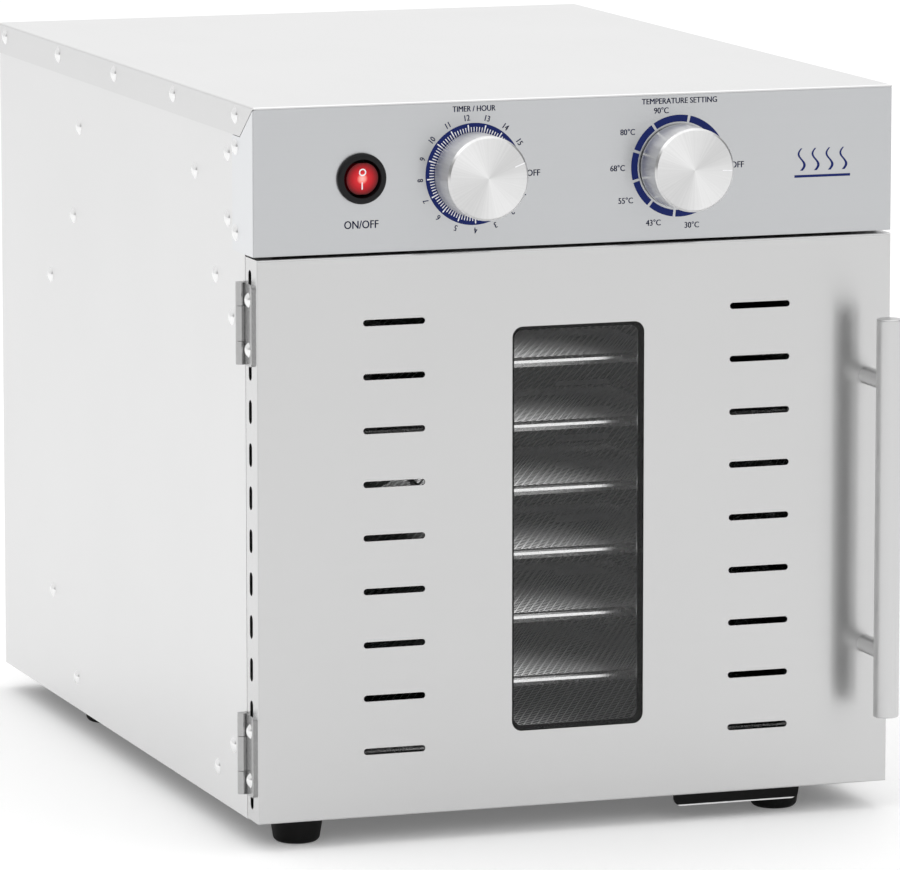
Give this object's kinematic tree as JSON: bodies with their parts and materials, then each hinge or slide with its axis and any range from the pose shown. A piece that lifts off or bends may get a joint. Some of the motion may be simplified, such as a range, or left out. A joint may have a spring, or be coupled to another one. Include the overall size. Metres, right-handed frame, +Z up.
{
  "type": "food dehydrator",
  "caption": "Countertop food dehydrator: folded steel casing, windowed hinged door with slots and bar handle, mesh trays, timer and temperature knobs, rear fan heater.",
  "frame": {"origin": "centre of the whole object's outer box, at the feet's undersides", "axes": "+Z up, front and door towards -Y, hinges on the -X side"},
  "size_m": [0.319, 0.478, 0.345],
  "materials": {
    "strike_steel": "satin",
    "casing_steel": "satin",
    "fascia_steel": "satin",
    "door_steel": "satin",
    "chamber_steel": "satin",
    "rivet_steel": "polished",
    "hinge_steel": "satin",
    "tray_steel": "satin",
    "handle_steel": "satin",
    "knob_aluminium": "turned",
    "shaft_steel": "satin",
    "black_plastic": "matte",
    "rocker_red": "gloss",
    "window_glass": "clear tinted",
    "foot_rubber": "matte",
    "motor_metal": "satin",
    "fan_aluminium": "satin",
    "heater_steel": "oxidised",
    "terminal_plastic": "matte",
    "dial_print": "printed",
    "pointer_print": "printed"
  },
  "bodies": {
    "cabinet": {"top_cover": "casing_steel", "left_side_panel": "casing_steel", "right_side_panel": "casing_steel", "back_panel": "casing_steel", "floor_panel": "chamber_steel", "control_fascia": "fascia_steel", "chamber_ceiling": "chamber_steel", "rear_baffle": "chamber_steel", "left_tray_rack": "chamber_steel", "right_tray_rack": "chamber_steel", "cover_rivets": "rivet_steel", "side_rivets": "rivet_steel", "fascia_fasteners": "rivet_steel", "back_screws": "rivet_steel", "foot_front_left": "foot_rubber", "foot_front_right": "foot_rubber", "foot_rear_left": "foot_rubber", "foot_rear_right": "foot_rubber", "foot_screws": "rivet_steel", "cord_gland": "black_plastic", "door_catch": "black_plastic", "upper_hinge_body_leaf": "hinge_steel", "lower_hinge_body_leaf": "hinge_steel", "upper_hinge_pin": "hinge_steel", "lower_hinge_pin": "hinge_steel", "switch_housing": "black_plastic", "timer_unit": "black_plastic", "thermostat_unit": "black_plastic", "thermostat_bulb": "shaft_steel", "motor_bracket": "chamber_steel", "fan_motor": "motor_metal", "fan_guard": "chamber_steel", "heating_element": "heater_steel", "terminal_block": "terminal_plastic"},
    "door": {"door_panel": "door_steel", "window_glass": "window_glass", "window_retainer": "door_steel", "window_nuts": "rivet_steel", "handle_bar": "handle_steel", "handle_posts": "handle_steel", "handle_screws": "rivet_steel", "strike_plate": "strike_steel", "door_rivets": "rivet_steel", "upper_hinge_door_leaf": "hinge_steel", "lower_hinge_door_leaf": "hinge_steel"},
    "power_rocker": {"power_rocker": "rocker_red"},
    "timer_knob": {"timer_knob": "knob_aluminium", "timer_shaft": "shaft_steel"},
    "temperature_knob": {"temperature_knob": "knob_aluminium", "thermostat_shaft": "shaft_steel"},
    "fan": {"fan_blade": "fan_aluminium", "fan_shaft": "shaft_steel"},
    "tray_1": {"tray_1": "tray_steel"},
    "tray_2": {"tray_2": "tray_steel"},
    "tray_3": {"tray_3": "tray_steel"},
    "tray_4": {"tray_4": "tray_steel"},
    "tray_5": {"tray_5": "tray_steel"},
    "tray_6": {"tray_6": "tray_steel"},
    "tray_7": {"tray_7": "tray_steel"},
    "tray_8": {"tray_8": "tray_steel"}
  },
  "joints": [
    {"name": "door_hinge", "type": "hinge", "parent": "cabinet", "child": "door", "pos_m": [-0.15725, -0.1888, 0.14435], "axis": [0, 0, -1], "range_deg": [0, 180]},
    {"name": "power_rocker_tilt", "type": "hinge", "parent": "cabinet", "child": "power_rocker", "pos_m": [-0.10395, -0.202, 0.3108], "axis": [-1, 0, 0], "range_deg": [0, 14]},
    {"name": "timer_turn", "type": "hinge", "parent": "cabinet", "child": "timer_knob", "pos_m": [-0.04935, -0.214, 0.3108], "axis": [0, 1, 0], "range_deg": [0, 327]},
    {"name": "temperature_turn", "type": "hinge", "parent": "cabinet", "child": "temperature_knob", "pos_m": [0.05145, -0.214, 0.3108], "axis": [0, 1, 0], "range_deg": [0, 255]},
    {"name": "fan_spin", "type": "hinge", "parent": "cabinet", "child": "fan", "pos_m": [0.00105, 0.153, 0.145], "axis": [0, 1, 0], "continuous": true},
    {"name": "tray_1_slide", "type": "slide", "parent": "cabinet", "child": "tray_1", "axis": [0, -1, 0], "range_m": [0, 0.28]},
    {"name": "tray_2_slide", "type": "slide", "parent": "cabinet", "child": "tray_2", "axis": [0, -1, 0], "range_m": [0, 0.28]},
    {"name": "tray_3_slide", "type": "slide", "parent": "cabinet", "child": "tray_3", "axis": [0, -1, 0], "range_m": [0, 0.28]},
    {"name": "tray_4_slide", "type": "slide", "parent": "cabinet", "child": "tray_4", "axis": [0, -1, 0], "range_m": [0, 0.28]},
    {"name": "tray_5_slide", "type": "slide", "parent": "cabinet", "child": "tray_5", "axis": [0, -1, 0], "range_m": [0, 0.28]},
    {"name": "tray_6_slide", "type": "slide", "parent": "cabinet", "child": "tray_6", "axis": [0, -1, 0], "range_m": [0, 0.28]},
    {"name": "tray_7_slide", "type": "slide", "parent": "cabinet", "child": "tray_7", "axis": [0, -1, 0], "range_m": [0, 0.28]},
    {"name": "tray_8_slide", "type": "slide", "parent": "cabinet", "child": "tray_8", "axis": [0, -1, 0], "range_m": [0, 0.28]}
  ],
  "couplings": [
    {"joint": "tray_1_slide", "follows": "door_hinge", "m_per_rad": 0.055},
    {"joint": "tray_2_slide", "follows": "door_hinge", "m_per_rad": 0.055},
    {"joint": "tray_3_slide", "follows": "door_hinge", "m_per_rad": 0.055},
    {"joint": "tray_4_slide", "follows": "door_hinge", "m_per_rad": 0.055},
    {"joint": "tray_5_slide", "follows": "door_hinge", "m_per_rad": 0.055},
    {"joint": "tray_6_slide", "follows": "door_hinge", "m_per_rad": 0.055},
    {"joint": "tray_7_slide", "follows": "door_hinge", "m_per_rad": 0.055},
    {"joint": "tray_8_slide", "follows": "door_hinge", "m_per_rad": 0.055}
  ]
}
